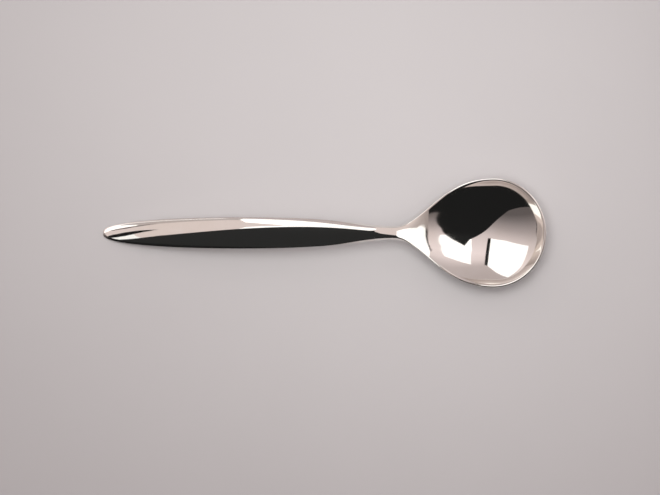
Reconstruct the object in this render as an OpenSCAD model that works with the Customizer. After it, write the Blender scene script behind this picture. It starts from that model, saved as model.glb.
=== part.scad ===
// Sugar spoon with a hollow handle. The bowl, neck and tang are one forging. The tang is cemented
// into a handle made of two struck shells, which are soldered together along the handle's edge.
// The spoon lies along X with the bowl at +X, rests on Z = 0 and is symmetric about Y = 0.
// Stations are measured along X from the tip of the handle, and the origin is under mid-length.

/* [Bowl] */
// Width across the outside of the rim
bowl_w = 31.9; // [27:0.1:37]
// Length from the neck's narrowest line to the bowl's widest line
bowl_near_l = 29; // [25:0.1:34]
// Length from the bowl's widest line to its far end
bowl_far_l = 15.3; // [12.5:0.1:18]
// Depth of the hollow at mid-wall
bowl_depth = 7.3; // [5.5:0.1:9.5]
// Thickness of the bowl's wall
bowl_wall = 0.8; // [0.6:0.05:1.2]
// Half-angle of the arc that the bowl follows across its widest line and beyond, in degrees
rim_angle = 51; // [42:1:62]
// Half-angle of that arc where the hollow begins, in degrees, where less lays the sides flatter
root_angle = 5; // [2:1:40]
// Rise of the rim from the widest line to the far end
rim_rise = 0.8; // [0:0.1:1.6]
// Fullness of the outline beside the widest line, as a tangent length
shoulder_pull = 15.7; // [12:0.1:18]
// Length of the curve that leads from the neck into the bowl, as a tangent length
root_pull = 8.8; // [5:0.1:11]
// Depth of the flat that is polished under the bowl where it rests
rest_flat = 0.25; // [0.15:0.01:0.35]

/* [Hollow] */
// Distance from the neck's narrowest line to where the hollow begins
hollow_start = 1.5; // [0.5:0.1:5]
// Softness of the edge where the hollow begins, as a tangent length
hollow_lip = 6; // [1.5:0.1:8]
// Length of the hollow's level floor, as a tangent length
hollow_floor = 8.6; // [7:0.1:13]

/* [Neck] */
// Width at the neck's narrowest line
neck_w = 3.85; // [3.4:0.05:4.6]
// Thickness at the neck's narrowest line
neck_t = 3; // [2.9:0.05:3.6]
// Length from the handle's mouth to the neck's narrowest line
neck_l = 5.6; // [3:0.1:9]
// Height of the neck's axis over the mid-wall of the rim
neck_rise = 1; // [0:0.1:2]
// Length over which the neck's oval thins out into the bowl's wall
neck_blend_l = 17; // [10:0.1:22]

/* [Handle] */
// Length from the tip to the mouth
handle_l = 79.8; // [65:0.1:95]
// Width at the belly
handle_w = 9.1; // [7.5:0.1:11]
// Thickness at the belly
handle_t = 4; // [3.6:0.1:5]
// Length from the tip to the belly
belly_l = 40.2; // [32:0.1:46]
// Length of the belly's even stretch towards the neck, as a tangent length
belly_pull = 32; // [20:0.1:36]
// Length of the neck's even stretch towards the belly, as a tangent length
waist_pull = 9; // [4:0.1:12]
// Bluntness of the tip in plan, where 0.5 is an ellipse and less is blunter
tip_blunt = 0.38; // [0.3:0.01:0.5]
// Bluntness of the tip in thickness, where 0.5 is an ellipse and less is blunter
tip_full = 0.5; // [0.4:0.01:0.6]
// Width of the small flat at the very tip
tip_flat_w = 1.2; // [0.6:0.1:2]
// Upward slope of the handle at the tip, in degrees
tip_slope = 13; // [8:0.5:16]
// Downward slope of the handle at the neck, in degrees
neck_slope = 7; // [0:0.5:10]
// Sharpness of the handle's edge in section, where 0.5 is an ellipse and 1 a keen edge
section_edge = 1; // [0.5:0.01:1]
// Flatness of the handle's faces in section, where 2 is an ellipse and more is flatter
section_top = 2.3; // [2:0.1:4]
// Sharpness of the neck's edge and flatness of its faces in section, on the same scales
neck_edge = 0.55; // [0.5:0.01:0.7]
neck_top = 2.4; // [2:0.1:3.5]
// Length over which the handle's keen edge rounds off into the neck
edge_fade_l = 14; // [8:0.5:25]

/* [Shells] */
// Wall of the handle's two shells
shell_wall = 0.6; // [0.4:0.05:0.7]
// Solid length at the tip, before the cavity starts
tip_solid = 2.6; // [2:0.1:4]
// Length of the cavity's rounded nose
cavity_nose = 3; // [1.5:0.1:5]
// Thickness of the solder film between the shells
solder_t = 0.1; // [0.05:0.01:0.15]

/* [Tang] */
// Length of the tang inside the handle
tang_l = 36; // [25:0.5:45]
// Width of the tang at the mouth
tang_w = 2.5; // [2:0.05:2.8]
// Thickness of the tang at the mouth
tang_t = 1.5; // [1.2:0.05:1.7]
// Width of the tang at its end
tang_end_w = 1.8; // [1.2:0.05:2.2]
// Thickness of the tang at its end
tang_end_t = 1; // [0.8:0.05:1.2]
// Length of cement beyond the end of the tang
cement_over = 5; // [2:0.1:8]
// Clearance between the cement and the metal round it
cement_fit = 0.02; // [0.01:0.01:0.05]

/* [Hidden] */

neck_x = handle_l + neck_l;
widest_x = neck_x + bowl_near_l;
spoon_l = widest_x + bowl_far_l;
hollow_x = neck_x + hollow_start;
tang_x = handle_l - tang_l;
cement_x = tang_x - cement_over;
rim_z = bowl_depth + bowl_wall / 2 - rest_flat;
neck_z = rim_z + neck_rise;
mid_far_l = bowl_far_l - bowl_wall / 2;
mid_half_w = (bowl_w - bowl_wall) / 2;
film = solder_t / 2;

// Counts of rows along the spoon and of steps round a section
handle_rows = 38;
tang_rows = 6;
neck_rows = 4;
near_rows = 25;
far_rows = 14;
shell_steps = 16;
across_steps = 22;
edge_steps = 4;
// Angle of a neck section's end points above and below its edge
edge_lap = 15;
// Sharpness of the tang's edge and flatness of its faces in section, as for the handle
tang_edge = 0.3;
tang_top = 2;
// Share of the cavity's nose at which its first row starts
cavity_first = 0.02;
// Least half-thickness that the cavity keeps in the slim tip
cavity_least = 0.12;
// Step over which a slope is measured
slope_step = 0.01;

function mix(a, b, v) = a + (b - a) * v;
function ease(v) = let (c = min(1, max(0, v))) c * c * (3 - 2 * c);
function unit(v) = v / norm(v);
function slope(f, x) = (f(x + slope_step) - f(x - slope_step)) / (2 * slope_step);

// Cubic curve on four points, and its height over a given X
function bezier(p, u) =
    p[0] * pow(1 - u, 3) + 3 * p[1] * u * pow(1 - u, 2) + 3 * p[2] * u * u * (1 - u) + p[3] * pow(u, 3);
function bezier_y(p, x, lo = 0, hi = 1, halvings = 26) =
    let (u = (lo + hi) / 2, at = bezier(p, u))
    halvings == 0 ? at[1]
    : at[0] < x ? bezier_y(p, x, u, hi, halvings - 1)
    : bezier_y(p, x, lo, u, halvings - 1);

// Cubic from height z0 and slope m0 to height z1 and slope m1, at share v of its span
function start_share(v) = 2 * v * v * v - 3 * v * v + 1;
function hermite(v, span, z0, m0, z1, m1) =
    start_share(v) * z0 + (1 - start_share(v)) * z1
    + span * (v * pow(1 - v, 2) * m0 - v * v * (1 - v) * m1);

// Plan outline: blunt tip, belly, neck, then the swell into the bowl
belly_to_neck = [
    [belly_l, handle_w / 2],
    [belly_l + belly_pull, handle_w / 2],
    [neck_x - waist_pull, neck_w / 2],
    [neck_x, neck_w / 2],
];
neck_to_bowl = [
    [neck_x, neck_w / 2],
    [neck_x + root_pull, neck_w / 2],
    [widest_x - shoulder_pull, bowl_w / 2],
    [widest_x, bowl_w / 2],
];
tip_share = 1 - sqrt(1 - pow(tip_flat_w / handle_w, 1 / tip_blunt));
function tip_swell(x) = 1 - pow(1 - mix(tip_share, 1, x / belly_l), 2);
function half_width(x) =
    x < belly_l ? handle_w / 2 * pow(tip_swell(x), tip_blunt)
    : x < neck_x ? bezier_y(belly_to_neck, x)
    : bezier_y(neck_to_bowl, x);

// Half the thickness of the handle and neck
function half_thickness(x) =
    x < belly_l ? handle_t / 2 * pow(tip_swell(x), tip_full)
    : x < neck_x ? mix(handle_t / 2, neck_t / 2, ease((x - belly_l) / (neck_x - belly_l)))
    : mix(neck_t / 2, bowl_wall / 2, ease((x - neck_x) / neck_blend_l));

// Share of a section's form that is the neck's, and the sharpness and flatness that it gives
function neck_form(x) = ease((x - neck_x) / edge_fade_l + 1);
function edge_form(x) = mix(section_edge, neck_edge, neck_form(x));
function face_form(x) = mix(section_top, neck_top, neck_form(x));

// Height of a section's edges: the handle's seam, then the mid-wall of the bowl's rim
function handle_arch(x, start_z) =
    hermite(x / neck_x, neck_x, start_z, tan(tip_slope), neck_z, -tan(neck_slope));
row_shares = [for (i = [0:handle_rows]) 1 - cos(90 * i / handle_rows)];
// Height of the tip at which the underside of the handle just rests on Z = 0
tip_z = max([
    for (v = row_shares)
        let (x = handle_l * v)
        if (x < belly_l / 2) (half_thickness(x) - handle_arch(x, 0)) / start_share(x / neck_x)
]);
function edge_z(x) =
    x < neck_x ? handle_arch(x, tip_z)
    : x < widest_x ? hermite((x - neck_x) / bowl_near_l, bowl_near_l, neck_z, -tan(neck_slope), rim_z, 0)
    : rim_z + rim_rise * pow((x - widest_x) / bowl_far_l, 2);

// Depth of the bowl's mid-wall along its middle line, up to the widest line
hollow_line = [
    [hollow_x, 0],
    [hollow_x + hollow_lip, 0],
    [widest_x - hollow_floor, bowl_depth],
    [widest_x, bowl_depth],
];
function depth(x) = x < hollow_x ? 0 : bezier_y(hollow_line, x);

// Circular arc of half-angle a from 1 in the middle of the bowl to 0 at the rim, and its steepness per share v
function arc(v, a) = (sqrt(1 - pow(v * sin(a), 2)) - cos(a)) / (1 - cos(a));
function arc_fall(v, a) = pow(sin(a), 2) / ((1 - cos(a)) * sqrt(1 - pow(v * sin(a), 2)));
function arc_angle(x) = mix(root_angle, rim_angle, ease((x - hollow_x) / (widest_x - hollow_x)));

// Height of the mid-wall at station x and share v of the half-width
function mid_z(x, v) = edge_z(x) - depth(x) * arc(v, arc_angle(x));

// Half-width of the bowl's mid-wall, which lies half a wall inside the outline
function mid_half(x) =
    half_width(x) - bowl_wall / 2 * sqrt(1 + pow(slope(function (s) half_width(s), x), 2));

// A place on the bowl is [point at mid-wall, normal, direction out of the rim within the wall].
function place(at, slope_x, slope_y, out) =
    let (normal = unit([-slope_x, -slope_y, 1]))
    [at, normal, unit(out - normal * (out * normal))];

// Place before the widest line, at station x and share t of the half-width
function near_place(x, t) =
    let (
        w = mid_half(x),
        w_slope = slope(function (s) mid_half(s), x),
        fall = depth(x) * arc_fall(t, arc_angle(x)) * t,
        slope_x = slope(function (s) mid_z(s, t), x) - fall * t * w_slope / w
    )
    place([x, w * t, mid_z(x, t)], slope_x, fall / w, [-w_slope, sign(t), 0]);

// Place past the widest line, where the rows bulge until the last one lies along the far rim
function far_place(row, t) =
    let (
        ax = row * sqrt(1 - t * t / 2),
        ay = t * sqrt(1 - row * row / 2),
        x = widest_x + mid_far_l * ax,
        v = norm([ax, ay]),
        fall = bowl_depth * arc_fall(v, rim_angle),
        slope_x = slope(function (s) edge_z(s), x) + fall * ax / mid_far_l,
        slope_y = fall * ay / mid_half_w
    )
    place(
        [x, mid_half_w * ay, edge_z(x) - bowl_depth * arc(v, rim_angle)],
        slope_x, slope_y, [ax / mid_far_l, ay / mid_half_w, 0]
    );

// Point of the wall at a place: 0 degrees is its upper face, 90 its outer edge, 180 its lower face
function wall_point(p, angle) = p[0] + bowl_wall / 2 * (p[1] * cos(angle) + p[2] * sin(angle));

// Share of an oval section's half-thickness at an angle: 0 degrees is its +Y edge, 90 its top
function oval_share(edge, top, angle) = sign(sin(angle)) * pow(1 - pow(abs(cos(angle)), top), edge);

// Point of an oval section at station x, which sags with the hollow
function oval_point(x, half_w, half_t, edge, top, angle) =
    [x, half_w * cos(angle), mid_z(x, cos(angle)) + half_t * oval_share(edge, top, angle)];

// Steps round a section, as [share across, wall angle, oval angle]: top, +Y edge, underside, -Y edge
around = concat(
    [for (j = [0:across_steps])
        let (v = j / across_steps) [mix(-1, 1, v), 0, mix(180 - edge_lap, edge_lap, v)]],
    [for (k = [1:edge_steps - 1])
        let (v = k / edge_steps) [1, 180 * v, mix(edge_lap, -edge_lap, v)]],
    [for (j = [0:across_steps])
        let (v = j / across_steps) [mix(1, -1, v), 180, mix(-edge_lap, edge_lap - 180, v)]],
    [for (k = [1:edge_steps - 1])
        let (v = k / edge_steps) [-1, mix(180, 0, v), mix(180 + edge_lap, 180 - edge_lap, v)]]
);
function tang_ring(x, angles, gap = 0) =
    let (
        v = (x - tang_x) / tang_l,
        half_w = mix(tang_end_w, tang_w, v) / 2 + gap,
        half_t = mix(tang_end_t, tang_t, v) / 2 + gap
    )
    [for (a = angles) oval_point(x, half_w, half_t, tang_edge, tang_top, a)];
function near_ring(x) =
    let (sheet = ease((x - neck_x) / neck_blend_l))
    [for (s = around)
        let (oval = oval_point(x, half_width(x), half_thickness(x), edge_form(x), face_form(x), s[2]))
        sheet == 0 ? oval : mix(oval, wall_point(near_place(x, s[0]), s[1]), sheet)];
function far_ring(row) = [for (s = around) wall_point(far_place(row, s[0]), s[1])];

// A handle row is [station, half-width, half-thickness] of the outside or of the cavity.
outside = [for (v = row_shares)
    let (x = handle_l * v) [x, half_width(x), half_thickness(x) - film]];
function cavity_row(x) =
    let (
        v = mix(cavity_first, 1, min(1, (x - tip_solid) / cavity_nose)),
        nose = sqrt(1 - pow(1 - v, 2)),
        half_t = max(cavity_least, half_thickness(x) - film - shell_wall)
    )
    [x, nose * (half_width(x) - shell_wall), nose * half_t];
cavity = [for (v = row_shares) cavity_row(mix(tip_solid, handle_l, v))];

// Triangles between two rings of n points, over a stack of rings, and over an end
function band(a, b, n) = [
    for (j = [0:n - 1])
        let (k = (j + 1) % n)
        each [[a + j, a + k, b + k], [a + j, b + k, b + j]]
];
function skin(rows, n) = [for (i = [0:rows - 2]) each band(i * n, (i + 1) * n, n)];
function fan(first, n) = [for (j = [1:n - 2]) [first, first + j, first + j + 1]];
function flipped(faces) = [for (f = faces) [f[2], f[1], f[0]]];
function loft(rows, n) = concat(flipped(fan(0, n)), skin(rows, n), fan((rows - 1) * n, n));
function flat(lists) = [for (l = lists) each l];

module solid(points, faces) {
    polyhedron([for (p = points) p - [spoon_l / 2, 0, 0]], faces, convexity = 6);
}

// Bowl, neck and tang, with a shoulder at the handle's mouth and a flat under the bowl
module bowl() {
    n = len(around);
    rings = concat(
        [for (i = [0:tang_rows]) tang_ring(mix(tang_x, handle_l, i / tang_rows), [for (s = around) s[2]])],
        [for (i = [0:neck_rows - 1]) near_ring(mix(handle_l, neck_x, i / neck_rows))],
        [for (i = [0:near_rows]) near_ring(mix(neck_x, widest_x, i / near_rows))],
        [for (i = [1:far_rows]) far_ring(i / far_rows)]
    );
    // The far rim is rounded by lines of points between the last ring's upper and lower edges.
    rim_points = [
        for (k = [1:edge_steps - 1], j = [1:across_steps - 1])
            wall_point(far_place(1, around[j][0]), 180 * k / edge_steps)
    ];
    last = (len(rings) - 1) * n;
    plus_y = last + across_steps;
    under = plus_y + edge_steps;
    minus_y = under + across_steps;
    inside = last + n - across_steps;
    function rim_index(k, j) =
        k == 0 ? last + j
        : k == edge_steps ? minus_y - j
        : j == 0 ? minus_y + edge_steps - k
        : j == across_steps ? plus_y + k
        : inside + k * (across_steps - 1) + j;
    rim_faces = [
        for (k = [0:edge_steps - 1], j = [0:across_steps - 1])
            let (a = rim_index(k, j), b = rim_index(k, j + 1), c = rim_index(k + 1, j + 1))
            each [[a, b, c], [a, c, rim_index(k + 1, j)]]
    ];
    color("silver")
        difference() {
            solid(
                concat(flat(rings), rim_points),
                concat(flipped(fan(0, n)), skin(len(rings), n), rim_faces)
            );
            translate([0, 0, -bowl_depth])
                cube([2 * spoon_l, 2 * bowl_w, 2 * bowl_depth], center = true);
        }
}

// Half of the handle: side is 1 for the upper shell and -1 for the lower one
module handle_shell(side) {
    count = shell_steps + 1;
    n = 2 * count;
    function half_ring(row, angles) = [
        for (a = angles)
            let (rise = film + row[2] * oval_share(edge_form(row[0]), face_form(row[0]), a))
            [row[0], row[1] * cos(a), edge_z(row[0]) + side * rise]
    ];
    over = [for (j = [0:shell_steps]) 180 * j / shell_steps];
    back = [for (j = [0:shell_steps]) 180 - over[j]];
    rings = [for (i = [0:handle_rows]) concat(half_ring(outside[i], over), half_ring(cavity[i], back))];
    last = handle_rows * n;
    mouth = [
        for (j = [0:shell_steps - 1])
            let (a = last + j, b = last + n - 1 - j)
            each [[a, a + 1, b - 1], [a, b - 1, b]]
    ];
    tip = [[shell_steps, 0, n - 1], [shell_steps, n - 1, count]];
    faces = concat(skin(handle_rows + 1, n), mouth, tip, flipped(fan(0, count)), flipped(fan(count, count)));
    color("gainsboro") solid(flat(rings), side > 0 ? flipped(faces) : faces);
}
module handle_top_shell() { handle_shell(1); }
module handle_bottom_shell() { handle_shell(-1); }

// Film of solder along the seam, from the mouth round the tip and back to the mouth
module seam_solder() {
    function column(i, y_side) = [
        for (corner = [[outside, 1], [outside, -1], [cavity, -1], [cavity, 1]])
            let (row = corner[0][i])
            [row[0], y_side * row[1], edge_z(row[0]) + corner[1] * film]
    ];
    columns = concat(
        [for (i = [handle_rows:-1:0]) column(i, 1)],
        [for (i = [0:handle_rows]) column(i, -1)]
    );
    color("lightgray") solid(flat(columns), flipped(loft(len(columns), 4)));
}

// Plug of cement in the cavity, with the tang's blind hole in its mouth end
module tang_cement() {
    n = 2 * shell_steps;
    angles = [for (j = [0:n - 1]) -360 * j / n];
    plug_rows = concat(
        [cavity_row(cement_x)],
        [for (row = cavity) if (row[0] > cement_x && row[0] < handle_l) row],
        [cavity_row(handle_l - cement_fit)]
    );
    function plug_ring(row) = [
        for (a = angles)
            let (half_w = row[1] - cement_fit, half_t = row[2] + film - cement_fit)
            oval_point(row[0], half_w, half_t, edge_form(row[0]), face_form(row[0]), a)
    ];
    hole_x = concat([handle_l - cement_fit], [
        for (i = [tang_rows - 1:-1:1]) mix(tang_x, handle_l, i / tang_rows)], [tang_x - cement_fit]);
    rings = concat(
        [for (row = plug_rows) plug_ring(row)],
        [for (x = hole_x) tang_ring(x, angles, cement_fit)]
    );
    color("tan") solid(flat(rings), loft(len(rings), n));
}

bowl();
handle_top_shell();
handle_bottom_shell();
seam_solder();
tang_cement();
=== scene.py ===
import math
from functools import lru_cache

import bmesh
import bpy
from mathutils import Matrix, Vector


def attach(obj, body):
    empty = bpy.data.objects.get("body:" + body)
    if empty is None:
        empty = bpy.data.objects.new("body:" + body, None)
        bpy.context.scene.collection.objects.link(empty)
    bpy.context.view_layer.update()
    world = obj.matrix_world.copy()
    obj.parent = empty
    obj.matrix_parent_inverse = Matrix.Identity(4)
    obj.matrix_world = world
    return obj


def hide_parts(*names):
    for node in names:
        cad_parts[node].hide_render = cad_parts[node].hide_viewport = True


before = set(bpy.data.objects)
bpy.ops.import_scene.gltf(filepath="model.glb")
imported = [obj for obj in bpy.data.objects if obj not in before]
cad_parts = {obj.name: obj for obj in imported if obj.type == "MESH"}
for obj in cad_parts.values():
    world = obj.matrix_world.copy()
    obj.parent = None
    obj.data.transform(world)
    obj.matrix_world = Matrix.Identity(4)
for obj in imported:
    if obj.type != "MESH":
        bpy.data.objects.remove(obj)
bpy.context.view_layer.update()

# Lower half of the hollow handle: a long, slim half-shell struck from thin sheet silver.
# It swells from a blunt tip to the belly and narrows again to the mouth, where the neck enters.
# Its flat edges are soldered to the upper half, and its outside is mirror-polished.
MM = 0.001
spoon_l = 129.7 * MM
handle_l = 79.8 * MM
handle_w = 9.1 * MM
handle_t = 4 * MM
belly_l = 40.2 * MM
belly_pull = 32 * MM
waist_pull = 9 * MM
neck_x = 85.4 * MM
neck_w = 3.85 * MM
neck_t = 3 * MM
neck_z = 8.45 * MM
tip_blunt = 0.38
tip_full = 0.5
tip_slope = math.radians(13)
neck_slope = math.radians(7)
section_edge = 1
section_top = 2.3
neck_edge = 0.55
neck_top = 2.4
edge_fade_l = 14 * MM
shell_wall = 0.6 * MM
tip_solid = 2.6 * MM
cavity_nose = 3 * MM
cavity_least = 0.12 * MM
film = 0.05 * MM
mouth_edge = 0.012 * MM
mouth_reach = 0.001 * MM
mouth_corner = math.radians(57)
merge_gap = 0.0005 * MM
least_edge = 0.0002 * MM
sharp_angle = math.radians(35)
shell_rows = 110
shell_steps = 40
tip_checks = 200
halvings = 30


def mix(a, b, share):
    return a + (b - a) * share


def ease(share):
    held = min(1, max(0, share))
    return held * held * (3 - 2 * held)


def bezier(points, u):
    a, b, c, d = (Vector(p) for p in points)
    return a * (1 - u) ** 3 + b * (3 * u * (1 - u) ** 2) + c * (3 * u * u * (1 - u)) + d * u**3


def height_on(points, x):
    """Height of a cubic curve in plan over a given station."""
    low, high = 0.0, 1.0
    for _ in range(halvings):
        u = (low + high) / 2
        low, high = (u, high) if bezier(points, u).x < x else (low, u)
    return bezier(points, low).y


def start_share(share):
    """Share that the start still has in a smooth run from a start to an end."""
    return 2 * share**3 - 3 * share**2 + 1


def hermite(share, span, start, start_slope, end, end_slope):
    """Smooth run over a span, from one height and slope to another."""
    bend = share * (1 - share) ** 2 * start_slope - share**2 * (1 - share) * end_slope
    return start_share(share) * start + (1 - start_share(share)) * end + span * bend


def tip_swell(x):
    return 1 - (1 - min(1, x / belly_l)) ** 2


@lru_cache(None)
def handle_half_width(x):
    if x < belly_l:
        return handle_w / 2 * tip_swell(x) ** tip_blunt
    waist = ((belly_l, handle_w / 2), (belly_l + belly_pull, handle_w / 2),
             (neck_x - waist_pull, neck_w / 2), (neck_x, neck_w / 2))
    return height_on(waist, x)


def handle_half_thickness(x):
    if x < belly_l:
        return handle_t / 2 * tip_swell(x) ** tip_full
    return mix(handle_t / 2, neck_t / 2, ease((x - belly_l) / (neck_x - belly_l)))


def handle_arch(x, start_z):
    return hermite(x / neck_x, neck_x, start_z, math.tan(tip_slope), neck_z, -math.tan(neck_slope))


near_tip = [belly_l / 2 * check / tip_checks for check in range(tip_checks)]
tip_z = max((handle_half_thickness(x) - handle_arch(x, 0)) / start_share(x / neck_x) for x in near_tip)


def handle_edge_z(x):
    """Height of the handle's seam: one arch to the neck, from where the underside just rests on the table."""
    return handle_arch(x, tip_z)


def oval_share(x, angle):
    """Share of a section's half-thickness at an angle: 0 is its +Y edge and a quarter turn its top."""
    neck_form = ease((x - neck_x) / edge_fade_l + 1)
    edge_form = mix(section_edge, neck_edge, neck_form)
    face_form = mix(section_top, neck_top, neck_form)
    share = max(0, 1 - abs(math.cos(angle)) ** face_form) ** edge_form
    return math.copysign(share, math.sin(angle))


def shell_outside(x, angle):
    y = handle_half_width(x) * math.cos(angle)
    rise = film + (handle_half_thickness(x) - film) * abs(oval_share(x, angle))
    return Vector((x, y, rise))


def shell_inside(x, angle):
    nose = math.sqrt(1 - (1 - min(1, (x - tip_solid) / cavity_nose)) ** 2)
    y = nose * (handle_half_width(x) - shell_wall) * math.cos(angle)
    deep = nose * max(cavity_least, handle_half_thickness(x) - film - shell_wall)
    return Vector((x, y, film + deep * abs(oval_share(x, angle))))


def mapped_grid(bm, rows, columns, place):
    """Adds a grid whose points are put in place by their share along it and their share across it."""
    made = bmesh.ops.create_grid(bm, x_segments=rows, y_segments=columns, size=1)
    for vert in made["verts"]:
        vert.co = place((vert.co.x + 1) / 2, (vert.co.y + 1) / 2)


def finished(name, bm, material):
    """Turns a bmesh whose stations start at the tip into a piece, smooth but for its sharp edges."""
    bmesh.ops.remove_doubles(bm, verts=bm.verts, dist=merge_gap)
    bmesh.ops.dissolve_degenerate(bm, edges=bm.edges, dist=least_edge)
    bmesh.ops.recalc_face_normals(bm, faces=bm.faces)
    bmesh.ops.translate(bm, verts=bm.verts, vec=(-spoon_l / 2, 0, 0))
    for face in bm.faces:
        face.smooth = True
    for edge in bm.edges:
        edge.smooth = edge.is_boundary or edge.calc_face_angle(0) < sharp_angle
    mesh = bpy.data.meshes.new(name)
    bm.to_mesh(mesh)
    bm.free()
    mesh.materials.append(material)
    piece = bpy.data.objects.new(name, mesh)
    bpy.context.scene.collection.objects.link(piece)
    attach(piece, "root")
    return piece


def station(share):
    """Share of the handle's length at a row of its mesh: the rows crowd together towards the tip."""
    return 1 - math.cos(math.pi / 2 * share)


def half_shell(name, side, material):
    """Outer face, cavity, seam edges and mouth of one half of the handle: side is 1 for the upper half."""
    bm = bmesh.new()

    def put(point):
        return Vector((point.x, point.y, handle_edge_z(point.x) + side * point.z))

    def outer(share, angle):
        return put(shell_outside(handle_l * station(share), angle))

    def inner(share, angle):
        return put(shell_inside(mix(tip_solid, handle_l, station(share)), angle))

    mapped_grid(bm, shell_rows, shell_steps, lambda u, v: outer(u, math.pi * v))
    mapped_grid(bm, shell_rows, shell_steps, lambda u, v: inner(u, math.pi * v))
    for edge_angle in (0, math.pi):
        mapped_grid(bm, shell_rows, 1, lambda u, v: outer(u, edge_angle).lerp(inner(u, edge_angle), v))
    mapped_grid(bm, 1, shell_steps, lambda u, v: outer(1, math.pi * v).lerp(inner(1, math.pi * v), u))
    bmesh.ops.remove_doubles(bm, verts=bm.verts, dist=merge_gap)
    corners = [e for e in bm.edges if e.calc_face_angle(0) > mouth_corner]
    mouth = [e for e in corners if min(v.co.x for v in e.verts) > handle_l - mouth_reach]
    bmesh.ops.bevel(bm, geom=mouth, offset=mouth_edge, offset_type="OFFSET", affect="EDGES",
                    segments=1, profile=0.5, material=-1)
    return finished(name, bm, material)


# Fine hairlines from wiping and polishing, and the faint haze of handling, shared by the metals.
# The hairlines are stretched noise in three directions, and the haze is cloudy noise.
line_directions = ((4, 60, 5200), (-17, 90, 4300), (62, 120, 4700))
line_scuff = 0.05
line_strength = 0.04


def group_with(name, output):
    tree = bpy.data.node_groups.new(name, "ShaderNodeTree")
    tree.interface.new_socket("Vector", in_out="INPUT", socket_type="NodeSocketVector")
    tree.interface.new_socket(output, in_out="OUTPUT", socket_type="NodeSocketFloat")
    return tree, tree.nodes.new("NodeGroupInput"), tree.nodes.new("NodeGroupOutput")


def add_node(tree, kind, settings=(), **inputs):
    node = tree.nodes.new(kind)
    for key, value in dict(settings).items():
        setattr(node, key, value)
    for key, value in inputs.items():
        node.inputs[key.replace("_", " ")].default_value = value
    return node


hairlines, into, out = group_with("polishing hairlines", "Lines")
last = None
for turn, along, across in line_directions:
    turned = add_node(hairlines, "ShaderNodeMapping", Rotation=(0, 0, math.radians(turn)),
                      Scale=(along, across, across))
    hairlines.links.new(into.outputs["Vector"], turned.inputs["Vector"])
    noise = add_node(hairlines, "ShaderNodeTexNoise", Scale=1.0, Detail=2.0, Roughness=0.6)
    hairlines.links.new(turned.outputs["Vector"], noise.inputs["Vector"])
    thin = add_node(hairlines, "ShaderNodeMapRange", From_Min=0.62, From_Max=0.78)
    hairlines.links.new(noise.outputs["Fac"], thin.inputs["Value"])
    if last is None:
        last = thin.outputs["Result"]
    else:
        larger = add_node(hairlines, "ShaderNodeMath", {"operation": "MAXIMUM"})
        hairlines.links.new(last, larger.inputs[0])
        hairlines.links.new(thin.outputs["Result"], larger.inputs[1])
        last = larger.outputs["Value"]
hairlines.links.new(last, out.inputs["Lines"])

haze, into, out = group_with("handling haze", "Haze")
cloud = add_node(haze, "ShaderNodeTexNoise", Scale=55.0, Detail=5.0, Roughness=0.62)
haze.links.new(into.outputs["Vector"], cloud.inputs["Vector"])
soft = add_node(haze, "ShaderNodeMapRange", From_Min=0.42, From_Max=0.75)
haze.links.new(cloud.outputs["Fac"], soft.inputs["Value"])
haze.links.new(soft.outputs["Result"], out.inputs["Haze"])


def metal(name, clean, dulled, smooth, hazed, line_depth):
    """Mirror-polished metal: haze dulls it and warms it a little, and hairlines catch the light."""
    material = bpy.data.materials.new(name)
    material.use_nodes = True
    tree = material.node_tree
    shader = tree.nodes["Principled BSDF"]
    shader.inputs["Metallic"].default_value = 1.0
    where = tree.nodes.new("ShaderNodeTexCoord")
    marks = {}
    for effect in (hairlines, haze):
        marks[effect.name] = tree.nodes.new("ShaderNodeGroup")
        marks[effect.name].node_tree = effect
        tree.links.new(where.outputs["Object"], marks[effect.name].inputs["Vector"])
    lines = marks["polishing hairlines"].outputs["Lines"]
    film_of_haze = marks["handling haze"].outputs["Haze"]
    tone = add_node(tree, "ShaderNodeMix", {"data_type": "RGBA"})
    tone.inputs["A"].default_value = (*clean, 1)
    tone.inputs["B"].default_value = (*dulled, 1)
    tree.links.new(film_of_haze, tone.inputs["Factor"])
    tree.links.new(tone.outputs["Result"], shader.inputs["Base Color"])
    gloss = add_node(tree, "ShaderNodeMapRange", To_Min=smooth, To_Max=hazed)
    tree.links.new(film_of_haze, gloss.inputs["Value"])
    scuffed = add_node(tree, "ShaderNodeMath", {"operation": "MULTIPLY_ADD"})
    scuffed.inputs[1].default_value = line_scuff
    tree.links.new(lines, scuffed.inputs[0])
    tree.links.new(gloss.outputs["Result"], scuffed.inputs[2])
    tree.links.new(scuffed.outputs["Value"], shader.inputs["Roughness"])
    grooves = add_node(tree, "ShaderNodeBump", {"invert": True}, Strength=line_strength, Distance=line_depth)
    tree.links.new(lines, grooves.inputs["Height"])
    tree.links.new(grooves.outputs["Normal"], shader.inputs["Normal"])
    return material


silver = metal("polished silver", clean=(0.95, 0.93, 0.90), dulled=(0.90, 0.865, 0.81),
               smooth=0.035, hazed=0.075, line_depth=0.004 * MM)

lower_shell = half_shell("handle_bottom_shell_skin", -1, silver)
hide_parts("handle_bottom_shell")

# Film of silver solder along the seam, from the mouth round the tip and back to the mouth.
# It is filed and polished flush with the shells, and shows as a fine grey line along the handle's edge.
solder = metal("silver solder", clean=(0.86, 0.84, 0.79), dulled=(0.74, 0.71, 0.65),
               smooth=0.07, hazed=0.16, line_depth=0.004 * MM)


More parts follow.
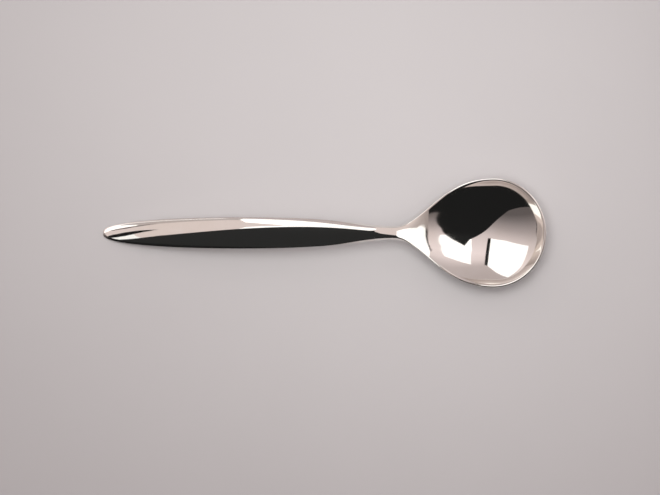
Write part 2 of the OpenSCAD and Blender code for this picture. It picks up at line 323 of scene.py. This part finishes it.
def seam_film(name, material):
    """Four long faces on each side of the handle, round the film from the tip to the mouth."""
    bm = bmesh.new()

    def corner(share, y_side, outward, upward):
        x = handle_l * station(share) if outward else mix(tip_solid, handle_l, station(share))
        point = (shell_outside if outward else shell_inside)(x, 0)
        return Vector((x, y_side * point.y, handle_edge_z(x) + upward * film))

    lines = ((1, 1), (1, -1), (0, -1), (0, 1))
    for y_side in (1, -1):
        for first, second in zip(lines, lines[1:] + lines[:1]):
            mapped_grid(bm, shell_rows, 1,
                        lambda u, v: corner(u, y_side, *first).lerp(corner(u, y_side, *second), v))
        mapped_grid(bm, 1, 1,
                    lambda u, v: corner(1, y_side, 1, 1 - 2 * v).lerp(corner(1, y_side, 0, 1 - 2 * v), u))
    return finished(name, bm, material)


seam = seam_film("seam_solder_skin", solder)
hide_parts("seam_solder")

# Upper half of the hollow handle, struck from the same sheet as the lower half.
# It is soldered on top of it, and carries the long highlights of the handle.
upper_shell = half_shell("handle_top_shell_skin", 1, silver)
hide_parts("handle_top_shell")

# Plug of handle cement: resin and stone dust, poured warm into the hollow handle round the tang.
# It is shut in by the shells and the neck's shoulder, so its own solid stays and gets a dull, grainy finish.
cement = bpy.data.materials.new("handle cement")
cement.use_nodes = True
mixture = cement.node_tree
dull = mixture.nodes["Principled BSDF"]
dull.inputs["Roughness"].default_value = 0.85
spot = mixture.nodes.new("ShaderNodeTexCoord")
grains = add_node(mixture, "ShaderNodeTexNoise", Scale=2600.0, Detail=6.0, Roughness=0.7)
mixture.links.new(spot.outputs["Object"], grains.inputs["Vector"])
tan = add_node(mixture, "ShaderNodeValToRGB")
tan.color_ramp.elements[0].color = (0.42, 0.33, 0.22, 1)
tan.color_ramp.elements[1].color = (0.70, 0.60, 0.45, 1)
mixture.links.new(grains.outputs["Fac"], tan.inputs["Fac"])
mixture.links.new(tan.outputs["Color"], dull.inputs["Base Color"])
pits = add_node(mixture, "ShaderNodeBump", Strength=0.4, Distance=0.05 * MM)
mixture.links.new(grains.outputs["Fac"], pits.inputs["Height"])
mixture.links.new(pits.outputs["Normal"], dull.inputs["Normal"])
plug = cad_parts["tang_cement"].data
plug.materials.clear()
plug.materials.append(cement)

# Bowl, neck and tang: one forging in silver. The neck's oval thins out into the bowl's even wall,
# the rim is rounded and the bowl is polished inside and out, with a small flat underneath where it rests.
# The tang is pushed into the handle until the neck's shoulder meets the mouth, and is cemented there.
bowl_w = 31.89 * MM
bowl_near_l = 29 * MM
bowl_far_l = 15.29 * MM
bowl_depth = 7.3 * MM
bowl_wall = 0.8 * MM
rim_angle = math.radians(51)
root_angle = math.radians(5)
rim_rise = 0.8 * MM
shoulder_pull = 15.7 * MM
root_pull = 8.8 * MM
hollow_start = 1.5 * MM
hollow_lip = 6 * MM
hollow_floor = 8.6 * MM
neck_blend_l = 17 * MM
edge_lap = math.radians(15)
tang_l = 36 * MM
tang_w = 2.5 * MM
tang_t = 1.5 * MM
tang_end_w = 1.8 * MM
tang_end_t = 1 * MM
tang_rows = 8
shoulder_inset = 0.2 * MM
widest_x = neck_x + bowl_near_l
rim_z = 7.45 * MM
slope_step = 0.01 * MM
neck_rows = 16
near_rows = 70
far_rows = 40
across_steps = 72
rim_steps = 12
forging_rows = neck_rows + near_rows + far_rows
near_share = (neck_rows + near_rows) / forging_rows
neck_share = neck_rows / forging_rows


def slope(height, x):
    return (height(x + slope_step) - height(x - slope_step)) / (2 * slope_step)


@lru_cache(None)
def half_width(x):
    if x < neck_x:
        return handle_half_width(x)
    swell = ((neck_x, neck_w / 2), (neck_x + root_pull, neck_w / 2),
             (widest_x - shoulder_pull, bowl_w / 2), (widest_x, bowl_w / 2))
    return height_on(swell, x)


def half_thickness(x):
    if x < neck_x:
        return handle_half_thickness(x)
    return mix(neck_t / 2, bowl_wall / 2, ease((x - neck_x) / neck_blend_l))


def edge_z(x):
    """Height of a section's edges: the neck's, then the mid-wall of the bowl's rim."""
    if x < neck_x:
        return handle_edge_z(x)
    if x < widest_x:
        return hermite((x - neck_x) / bowl_near_l, bowl_near_l, neck_z, -math.tan(neck_slope), rim_z, 0)
    return rim_z + rim_rise * ((x - widest_x) / bowl_far_l) ** 2


@lru_cache(None)
def depth(x):
    start = neck_x + hollow_start
    if x < start:
        return 0.0
    fall = ((start, 0), (start + hollow_lip, 0),
            (widest_x - hollow_floor, bowl_depth), (widest_x, bowl_depth))
    return height_on(fall, x)


def arc(share, angle):
    """Circular arc of a given half-angle, from 1 in the middle of the bowl to 0 at the rim."""
    rise = math.sqrt(1 - (share * math.sin(angle)) ** 2)
    return (rise - math.cos(angle)) / (1 - math.cos(angle))


def arc_fall(share, angle):
    rise = math.sqrt(1 - (share * math.sin(angle)) ** 2)
    return math.sin(angle) ** 2 / ((1 - math.cos(angle)) * rise)


def arc_angle(x):
    share = (x - neck_x - hollow_start) / (bowl_near_l - hollow_start)
    return mix(root_angle, rim_angle, ease(share))


def mid_z(x, share):
    """Height of the mid-wall at a station and a share of the half-width."""
    return edge_z(x) - depth(x) * arc(share, arc_angle(x))


@lru_cache(None)
def mid_half(x):
    return half_width(x) - bowl_wall / 2 * math.sqrt(1 + slope(half_width, x) ** 2)


@lru_cache(None)
def mid_half_slope(x):
    return slope(mid_half, x)


def wall_point(middle, slope_x, slope_y, out, turn):
    """Point of the wall: no turn is its upper face, a quarter turn its rim and a half turn its lower face."""
    normal = Vector((-slope_x, -slope_y, 1)).normalized()
    rimward = (out - normal * out.dot(normal)).normalized()
    return middle + bowl_wall / 2 * (normal * math.cos(turn) + rimward * math.sin(turn))


def near_point(x, across, turn):
    half = mid_half(x)
    fall = depth(x) * arc_fall(across, arc_angle(x)) * across
    slope_x = slope(lambda s: mid_z(s, across), x) - fall * across * mid_half_slope(x) / half
    out = Vector((-mid_half_slope(x), math.copysign(1, across), 0))
    return wall_point(Vector((x, half * across, mid_z(x, across))), slope_x, fall / half, out, turn)


def far_point(row, across, turn):
    far_l = bowl_far_l - bowl_wall / 2
    half = (bowl_w - bowl_wall) / 2
    ax = row * math.sqrt(1 - across**2 / 2)
    ay = across * math.sqrt(1 - row**2 / 2)
    share = min(1, math.hypot(ax, ay))
    x = widest_x + far_l * ax
    fall = bowl_depth * arc_fall(share, rim_angle)
    middle = Vector((x, half * ay, edge_z(x) - bowl_depth * arc(share, rim_angle)))
    slope_x = slope(edge_z, x) + fall * ax / far_l
    return wall_point(middle, slope_x, fall * ay / half, Vector((ax / far_l, ay / half, 0)), turn)


def neck_point(x, across, turn):
    """Point of the neck's oval, whose two faces leave a narrow lap for the turn round the edge."""
    if turn in (0, math.pi):
        angle = mix(math.pi - edge_lap, edge_lap, (across + 1) / 2) * (1 if turn == 0 else -1)
    else:
        angle = edge_lap * (1 - 2 * turn / math.pi)
        angle = angle if across > 0 else math.pi - angle
    rise = half_thickness(x) * oval_share(x, angle)
    return Vector((x, half_width(x) * math.cos(angle), mid_z(x, math.cos(angle)) + rise))


def bowl_point(along, across, turn):
    """Point of the forging: share from the shoulder to the far rim, share across, turn round the edge."""
    if along > near_share:
        return far_point((along - near_share) / (1 - near_share), across, turn)
    if along < neck_share:
        return neck_point(mix(handle_l, neck_x, along / neck_share), across, turn)
    x = mix(neck_x, widest_x, (along - neck_share) / (near_share - neck_share))
    sheet = ease((x - neck_x) / neck_blend_l)
    if sheet == 0:
        return neck_point(x, across, turn)
    return neck_point(x, across, turn).lerp(near_point(x, across, turn), sheet)


def forging(name, material):
    """Upper and lower face, both edges and far rim, then the shoulder and the tang drawn out of it."""
    bm = bmesh.new()
    for turn in (0, math.pi):
        mapped_grid(bm, forging_rows, across_steps, lambda u, v: bowl_point(u, 2 * v - 1, turn))
    for side in (1, -1):
        mapped_grid(bm, forging_rows, rim_steps, lambda u, v: bowl_point(u, side, math.pi * v))
    mapped_grid(bm, across_steps, rim_steps, lambda u, v: bowl_point(1, 2 * u - 1, math.pi * v))
    bmesh.ops.remove_doubles(bm, verts=bm.verts, dist=merge_gap)
    shoulder = [e for e in bm.edges if e.is_boundary]
    bmesh.ops.contextual_create(bm, geom=shoulder)
    bmesh.ops.bevel(bm, geom=shoulder, offset=mouth_edge, offset_type="OFFSET", affect="EDGES",
                    segments=1, profile=0.5, material=-1)
    end = max(bm.faces, key=lambda f: len(f.verts))
    bmesh.ops.inset_individual(bm, faces=[end], thickness=shoulder_inset)
    for row in range(tang_rows + 1):
        x = handle_l - tang_l * row / tang_rows
        middle = Vector((x, 0, handle_edge_z(x)))
        if row > 0:
            end = bmesh.ops.extrude_discrete_faces(bm, faces=[end])["faces"][0]
            bmesh.ops.translate(bm, verts=end.verts, vec=middle - end.calc_center_median())
        wide = mix(tang_w, tang_end_w, row / tang_rows) / 2 / max(abs(v.co.y) for v in end.verts)
        thick = mix(tang_t, tang_end_t, row / tang_rows) / 2 / max(abs(v.co.z - middle.z) for v in end.verts)
        bmesh.ops.scale(bm, verts=end.verts, vec=(1, wide, thick), space=Matrix.Translation(-middle))
    for vert in bm.verts:
        vert.co.z = max(0, vert.co.z)
    return finished(name, bm, material)


bowl = forging("bowl_skin", silver)
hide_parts("bowl")

# Plain pale table top that the spoon lies on: a smooth board with a matt lilac-grey coat.
# The coat is faintly uneven in tone, and keeps the spoon's soft shadow.
floor_size = 3.0
floor_mesh = bpy.data.meshes.new("table")
bm = bmesh.new()
bmesh.ops.create_grid(bm, x_segments=1, y_segments=1, size=floor_size)
bm.to_mesh(floor_mesh)
bm.free()
table = bpy.data.objects.new("table", floor_mesh)
bpy.context.scene.collection.objects.link(table)
table_top = bpy.data.materials.new("matt table top")
table_top.use_nodes = True
coat = table_top.node_tree
paint = coat.nodes["Principled BSDF"]
paint.inputs["Roughness"].default_value = 0.75
place = coat.nodes.new("ShaderNodeTexCoord")
mottle = add_node(coat, "ShaderNodeTexNoise", Scale=14.0, Detail=3.0)
coat.links.new(place.outputs["Object"], mottle.inputs["Vector"])
shade = add_node(coat, "ShaderNodeValToRGB")
shade.color_ramp.elements[0].color = (0.536, 0.537, 0.546, 1)
shade.color_ramp.elements[1].color = (0.566, 0.567, 0.576, 1)
coat.links.new(mottle.outputs["Fac"], shade.inputs["Fac"])
coat.links.new(shade.outputs["Color"], paint.inputs["Base Color"])
floor_mesh.materials.append(table_top)

# Studio: pale warm walls all round, and glowing sheets that are painted reflections, which the polished
# silver mirrors:
# two white panels on the far side and a black flag on the near side. Smaller cards lean close over the handle
# and the neck, so that one side of the handle is dark and the other pale. All are out of the picture, and two
# soft lamps light the table.
bowl_middle = Vector((49.5 * MM, 0, 5 * MM))
handle_fall = 0.275
neck_fall = 0.8
panel_white = (1.0, 0.985, 0.97)
pale = (0.725, 0.622, 0.595)
shaded = (0.38, 0.325, 0.312)
grey = (0.5, 0.435, 0.42)
brown = (0.06, 0.05, 0.045)
black = (0.012, 0.012, 0.012)
soft_black = (0.024, 0.024, 0.024)
panel_glow = 1.3
lamp_tint = (1.0, 0.97, 0.95)
wall_tint = (1, 0.86, 0.845)
wall_lean = (0.13, 0.8, 0.0)
wall_shades = ((0.08, 0.19), (0.26, 0.40), (0.43, 0.66), (0.52, 0.73), (0.75, 0.885), (0.845, 0.79),
               (0.92, 0.54))


def toward(reach, corners):
    """Places at a reach from the bowl: each corner is in degrees off straight up, to +X and to +Y."""
    places = []
    for across, along in corners:
        off = math.radians(math.hypot(across, along))
        flat = Vector((across, along, 0)).normalized() * math.sin(off)
        places.append(bowl_middle + (flat + Vector((0, 0, math.cos(off)))) * reach)
    return places


def leaning(height, fall, corners):
    """Corners, in millimetres, of a card that falls towards the bowl from a height over the origin."""
    return [Vector((x, y, height - fall * x)) * MM for x, y in corners]


def card(name, corners, colour, strength=1, fade=None):
    """Card that glows below and shows only as a reflection. A fade is two stations and an end colour."""
    bm = bmesh.new()
    face = bm.faces.new([bm.verts.new(corner) for corner in corners])
    face.normal_update()
    if face.normal.z > 0:
        face.normal_flip()
    mesh = bpy.data.meshes.new(name)
    bm.to_mesh(mesh)
    bm.free()
    sheet = bpy.data.objects.new(name, mesh)
    bpy.context.scene.collection.objects.link(sheet)
    sheet.visible_camera = False
    sheet.visible_shadow = False
    sheet.visible_diffuse = False
    # Painted reflection: the card's material is only a glow of its colour, dark or pale, for the polished
    # metal to mirror.
    card_glow = bpy.data.materials.new(name)
    card_glow.use_nodes = True
    tree = card_glow.node_tree
    glow = tree.nodes["Principled BSDF"]
    glow.inputs["Base Color"].default_value = (0, 0, 0, 1)
    glow.inputs["Specular IOR Level"].default_value = 0.0
    glow.inputs["Emission Color"].default_value = (*colour, 1)
    glow.inputs["Emission Strength"].default_value = strength
    if fade:
        start, end, end_colour = fade
        spot = add_node(tree, "ShaderNodeTexCoord")
        split = add_node(tree, "ShaderNodeSeparateXYZ")
        run = add_node(tree, "ShaderNodeMapRange", From_Min=start * MM, From_Max=end * MM)
        blend = add_node(tree, "ShaderNodeMix", {"data_type": "RGBA"})
        blend.inputs["A"].default_value = (*colour, 1)
        blend.inputs["B"].default_value = (*end_colour, 1)
        tree.links.new(spot.outputs["Object"], split.inputs["Vector"])
        tree.links.new(split.outputs["X"], run.inputs["Value"])
        tree.links.new(run.outputs["Result"], blend.inputs["Factor"])
        tree.links.new(blend.outputs["Result"], glow.inputs["Emission Color"])
    side = add_node(tree, "ShaderNodeNewGeometry")
    lower_only = add_node(tree, "ShaderNodeMath", {"operation": "SUBTRACT"})
    lower_only.inputs[0].default_value = 1.0
    tree.links.new(side.outputs["Backfacing"], lower_only.inputs[1])
    tree.links.new(lower_only.outputs["Value"], glow.inputs["Alpha"])
    mesh.materials.append(card_glow)


card("left panel", toward(reach=0.9, corners=(
    (6, 9.4), (13.6, 57), (-1, 70), (-26, 82), (-53, 62), (-68, 30), (-69.5, 23), (-23, 13))),
    panel_white, panel_glow)
card("bar beside the left panel", toward(reach=0.8, corners=(
    (6, 9.4), (11.7, 8.6), (18, 55), (13.6, 57))), black)
card("right panel", toward(reach=1.2, corners=(
    (31, 4), (31.7, 28), (33.5, 53.5), (49, 46), (47.5, 28), (46.2, 4))), panel_white, panel_glow)
card("black flag", toward(reach=1.0, corners=(
    (-76, -46), (-30, -38), (-4, -23), (15, -4), (33, 11), (37, 22), (42, 13), (46, -10), (49.2, -26),
    (50.4, -41), (58, -62), (40, -86), (0, -91), (-50, -76))), black)

arch_x = -14
arch_y = 9.8
arch_bend = 130
black_arch = [(x, arch_y - (x - arch_x) ** 2 / arch_bend) for x in range(-40, 12, 4)]
card("black card", leaning(height=20, fall=handle_fall, corners=(
    (-160, -131), (-102, -53), (-79, -21), (-68, -8.5), (-57, -1.7), (-47, 2), *black_arch, (14.2, 2.9),
    (17.7, -0.6), (22.6, -3.3), (25.5, -20), (30, -200), (-200, -200))), soft_black)
card("pale card", leaning(height=20.6, fall=handle_fall, corners=(
    (-12.9, 13.8), (-23.4, 25.8), (-31.7, 40), (-42, 90), (-56, 120), (-75, 115), (-107, 66), (-118, 29),
    (-130, 14), (-187, 2), (-160, -100), (-60, -20), (-47, -2), (-31.4, 6.2), (-27.8, 13.2),
    (-20.4, 14.2))), pale)
card("grey card", leaning(height=20.8, fall=handle_fall, corners=(
    (-36, 55), (-42, 90), (-52, 145), (-75, 300), (-140, 700), (-420, 700), (-330, 420), (-200, 210),
    (-120, 110), (-100, 60))), grey)
card("strip over the tip", leaning(height=19.8, fall=handle_fall, corners=(
    (-164, -66), (-114, -17), (-97.5, -1.5), (-81, 11.5), (-70, 14), (-74, 7), (-83, -2), (-95, -19.5),
    (-115, -45), (-147, -80), (-249, -165))), black)
card("white card below the strip", leaning(height=20.2, fall=handle_fall, corners=(
    (-85, -3), (-115, -41), (-147, -76), (-170, -110), (-157, -131), (-102, -55), (-84, -27))), panel_white)
card("white card beyond the tip", leaning(height=20.2, fall=handle_fall, corners=(
    (-124, 24), (-120, 80), (-126, 100), (-150, 130), (-330, 200), (-330, 0), (-187, 2), (-130, 14))),
    panel_white, panel_glow)
card("thin strip beside the white card", leaning(height=20.1, fall=handle_fall, corners=(
    (-122, 27), (-106, 42), (-102, 58), (-99, 86), (-92.5, 86), (-94.5, 56), (-98, 34.5), (-113, 21))), brown)
card("pale card over the neck", leaning(height=39.6, fall=neck_fall, corners=(
    (16, -24), (17.5, 0), (18.7, 10.3), (21.3, 33), (27.4, 77), (36.4, 77), (36.4, -24))), pale,
    fade=(28.5, 36, shaded))
card("white card over the neck", leaning(height=39.4, fall=neck_fall, corners=(
    (24.6, 4), (26.2, 6), (28.3, 5.2), (30.1, 2.9), (31.8, 1.2), (33.3, 0.42), (35.8, 0.1), (36.7, -0.9),
    (35, -2.2), (33, -12), (26, -20), (24.6, -20))), panel_white, panel_glow)
card("bar beside the white card", leaning(height=39.3, fall=neck_fall, corners=(
    (35.6, 0.1), (35.7, -0.02), (36.7, -0.9), (37.1, -1.1), (36, -0.04), (36.1, 0.12))), black)


def soft_lamp(name, width, energy, place, aim):
    """Round lamp that lights the table but isn't mirrored: its place and aim are in millimetres."""
    light = bpy.data.lights.new(name, "AREA")
    light.shape = "DISK"
    light.size = width
    light.energy = energy
    light.color = lamp_tint
    lamp = bpy.data.objects.new(name, light)
    lamp.location = Vector(place) * MM
    lamp.rotation_euler = (Vector(aim) * MM - lamp.location).to_track_quat("-Z", "Y").to_euler()
    lamp.visible_camera = False
    lamp.visible_glossy = False
    bpy.context.scene.collection.objects.link(lamp)


soft_lamp("main lamp", width=0.15, energy=0.364, place=(16, 41, 225), aim=(-6, 141, 0))
soft_lamp("fill lamp", width=0.1, energy=0.018, place=(70, -40, 135), aim=(20, 10, 0))

room = bpy.data.worlds.new("studio walls")
bpy.context.scene.world = room
room.use_nodes = True
sky = room.node_tree
aim = sky.nodes.new("ShaderNodeTexCoord")
lean = add_node(sky, "ShaderNodeVectorMath", {"operation": "DOT_PRODUCT"})
lean.inputs[1].default_value = wall_lean
sky.links.new(aim.outputs["Generated"], lean.inputs[0])
spread = add_node(sky, "ShaderNodeMapRange", From_Min=-0.45, From_Max=0.8)
sky.links.new(lean.outputs["Value"], spread.inputs["Value"])
walls = add_node(sky, "ShaderNodeValToRGB")
walls.color_ramp.elements[0].color = (0.12, 0.103, 0.101, 1)
walls.color_ramp.elements[1].color = (0.49, 0.42, 0.413, 1)
for share, level in wall_shades:
    walls.color_ramp.elements.new(share).color = (*(level * tint for tint in wall_tint), 1)
sky.links.new(spread.outputs["Result"], walls.inputs["Fac"])
sky.links.new(walls.outputs["Color"], sky.nodes["Background"].inputs["Color"])

# Camera straight above the spoon, framed as in the photograph, which is 660 by 495 pixels.
# The width of its view is measured at the height of the spoon's outline, a little over the table.
camera_height = 0.6
view_width = 192.1 * MM
view_centre = (2.0 * MM, -4.25 * MM)
outline_height = 7 * MM
lens = bpy.data.cameras.new("camera")
lens.sensor_width = 36
lens.lens = lens.sensor_width * (camera_height - outline_height) / view_width
lens.clip_start = 0.01
camera = bpy.data.objects.new("camera", lens)
camera.location = (*view_centre, camera_height)
bpy.context.scene.collection.objects.link(camera)
bpy.context.scene.camera = camera
bpy.context.scene.view_settings.view_transform = "Standard"
